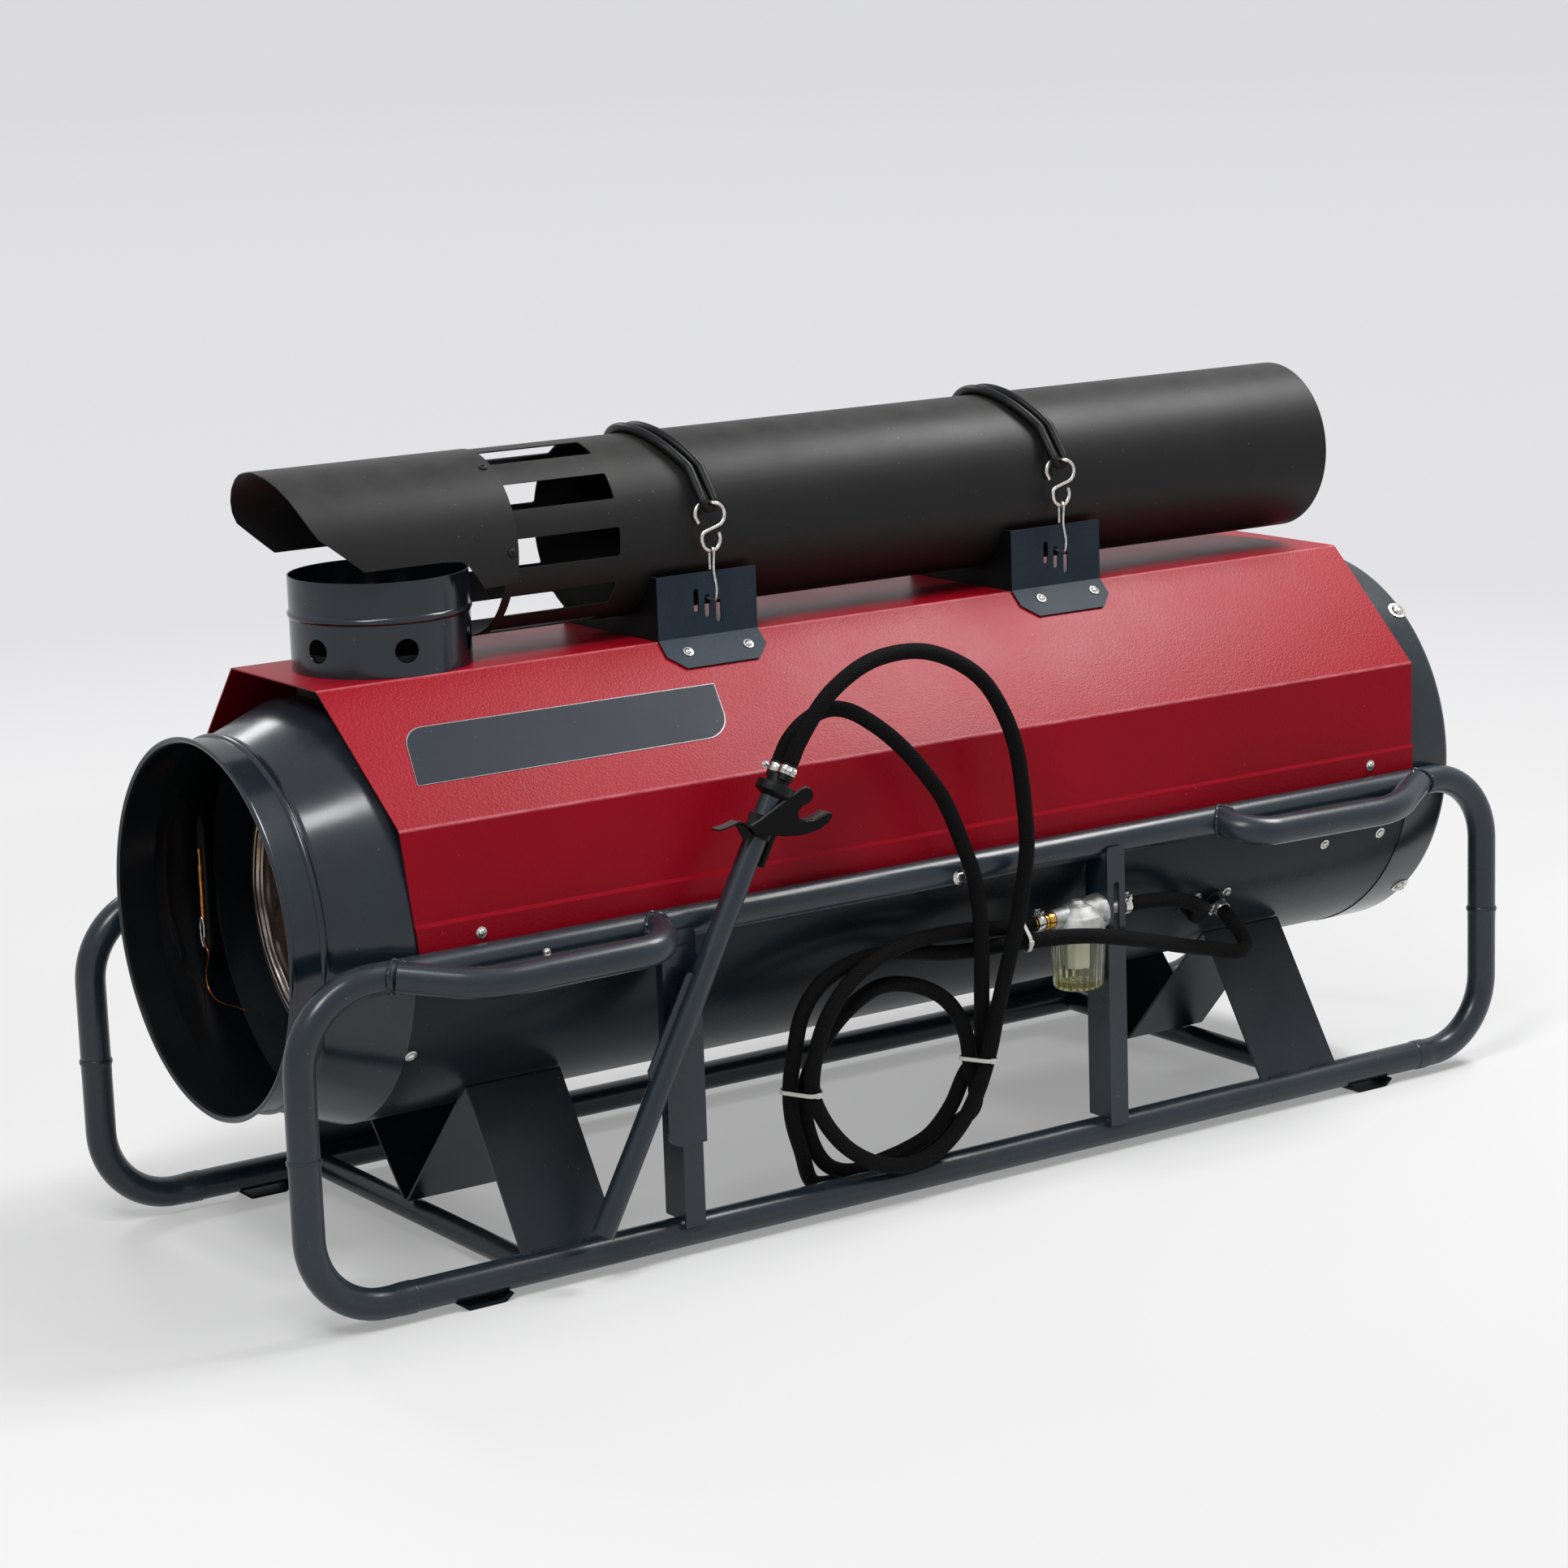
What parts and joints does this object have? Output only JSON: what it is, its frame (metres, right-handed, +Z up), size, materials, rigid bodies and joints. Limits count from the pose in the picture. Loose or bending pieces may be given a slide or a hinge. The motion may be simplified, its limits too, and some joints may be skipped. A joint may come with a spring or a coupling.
{
  "type": "indirect fired heater",
  "caption": "Portable indirect oil-fired air heater: round casing with red hood in a tubular skid frame, stowed chimney pipe, fuel lance, hoses and filter.",
  "frame": {"origin": "on the floor, under the middle of the frame", "axes": "+X from the warm air outlet towards the fan end, +Y towards the control side, +Z up; the fuel lance and hoses hang on the -Y side"},
  "size_m": [1.6548, 0.6396, 0.8666],
  "materials": {
    "frame_grey": "satin",
    "leg_grey": "satin",
    "casing_grey": "satin",
    "hood_red": "satin, fine texture",
    "chimney_black": "matt",
    "heat_steel": "heat tinted",
    "zinc": "bright zinc",
    "rubber": "matt",
    "braid": "fabric braid",
    "black_plastic": "satin",
    "alloy": "cast",
    "clear_bowl": "clear, fuel inside",
    "white_nylon": "matt",
    "button_red": "gloss"
  },
  "bodies": {
    "frame": {"rail_front": "frame_grey", "rail_rear": "frame_grey", "sill_front": "frame_grey", "sill_rear": "frame_grey", "elbow_front_left": "frame_grey", "elbow_front_right": "frame_grey", "elbow_rear_left": "frame_grey", "elbow_rear_right": "frame_grey", "foot_front_left": "frame_grey", "foot_front_right": "frame_grey", "foot_rear_left": "frame_grey", "foot_rear_right": "frame_grey", "handle_front_left": "frame_grey", "handle_front_right": "frame_grey", "handle_rear_left": "frame_grey", "handle_rear_right": "frame_grey", "saddle_left": "leg_grey", "saddle_right": "leg_grey", "post_left": "frame_grey", "post_right": "frame_grey", "drum": "casing_grey", "outlet_cone": "casing_grey", "rear_cover": "casing_grey", "fan_guard": "casing_grey", "hood": "hood_red", "flue_collar": "casing_grey", "heat_exchanger": "heat_steel", "combustion_chamber": "heat_steel", "burner": "black_plastic", "fan_motor": "casing_grey", "thermostat": "zinc", "cradle_left": "frame_grey", "cradle_right": "frame_grey", "filter_head": "alloy", "filter_bowl": "clear_bowl", "supply_hose": "braid", "return_hose": "braid", "burner_feed_hose": "braid", "cable_tie_left": "white_nylon", "cable_tie_right": "white_nylon", "cable_tie_filter": "white_nylon", "control_box": "black_plastic"},
    "chimney": {"chimney_pipe": "chimney_black", "rain_cap": "chimney_black", "strap_left": "rubber", "strap_right": "rubber", "strap_ring_left_front": "zinc", "strap_ring_left_rear": "zinc", "strap_ring_right_front": "zinc", "strap_ring_right_rear": "zinc"},
    "fan": {"fan_impeller": "alloy"},
    "lance": {"suction_lance": "frame_grey", "lance_bung": "black_plastic"},
    "drum_clip": {"drum_clip": "black_plastic"},
    "selector_knob": {"selector_knob": "black_plastic"},
    "reset_button": {"reset_button": "button_red"},
    "wire_hook_left_front": {"wire_hook_left_front": "zinc"},
    "wire_hook_left_rear": {"wire_hook_left_rear": "zinc"},
    "wire_hook_right_front": {"wire_hook_right_front": "zinc"},
    "wire_hook_right_rear": {"wire_hook_right_rear": "zinc"}
  },
  "joints": [
    {"name": "fan_spin", "type": "hinge", "parent": "frame", "child": "fan", "pos_m": [0.575, 0, 0.382], "axis": [1, 0, 0], "continuous": true},
    {"name": "chimney_lift", "type": "slide", "parent": "frame", "child": "chimney", "axis": [0, 0, 1], "range_m": [0, 0.35]},
    {"name": "lance_lift", "type": "slide", "parent": "frame", "child": "lance", "axis": [0, -0.5736, 0.8192], "range_m": [0, 0.12], "deforming": ["supply_hose", "return_hose"]},
    {"name": "drum_clip_slide", "type": "slide", "parent": "lance", "child": "drum_clip", "axis": [0.4695, 0, 0.8829], "range_m": [-0.06, 0]},
    {"name": "selector_turn", "type": "hinge", "parent": "frame", "child": "selector_knob", "pos_m": [0.33, 0.258, 0.262], "axis": [0, 1, 0], "range_deg": [-60, 60]},
    {"name": "reset_press", "type": "slide", "parent": "frame", "child": "reset_button", "axis": [0, -1, 0], "range_m": [0, 0.004], "stiffness_N_per_m": 400},
    {"name": "hook_left_front_swing", "type": "hinge", "parent": "chimney", "child": "wire_hook_left_front", "pos_m": [-0.20725, -0.1115, 0.7314], "axis": [-1, 0, 0], "range_deg": [0, 70]},
    {"name": "hook_left_rear_swing", "type": "hinge", "parent": "chimney", "child": "wire_hook_left_rear", "pos_m": [-0.20725, 0.1115, 0.7314], "axis": [1, 0, 0], "range_deg": [0, 70]},
    {"name": "hook_right_front_swing", "type": "hinge", "parent": "chimney", "child": "wire_hook_right_front", "pos_m": [0.27575, -0.1115, 0.7314], "axis": [-1, 0, 0], "range_deg": [0, 70]},
    {"name": "hook_right_rear_swing", "type": "hinge", "parent": "chimney", "child": "wire_hook_right_rear", "pos_m": [0.27575, 0.1115, 0.7314], "axis": [1, 0, 0], "range_deg": [0, 70]}
  ]
}
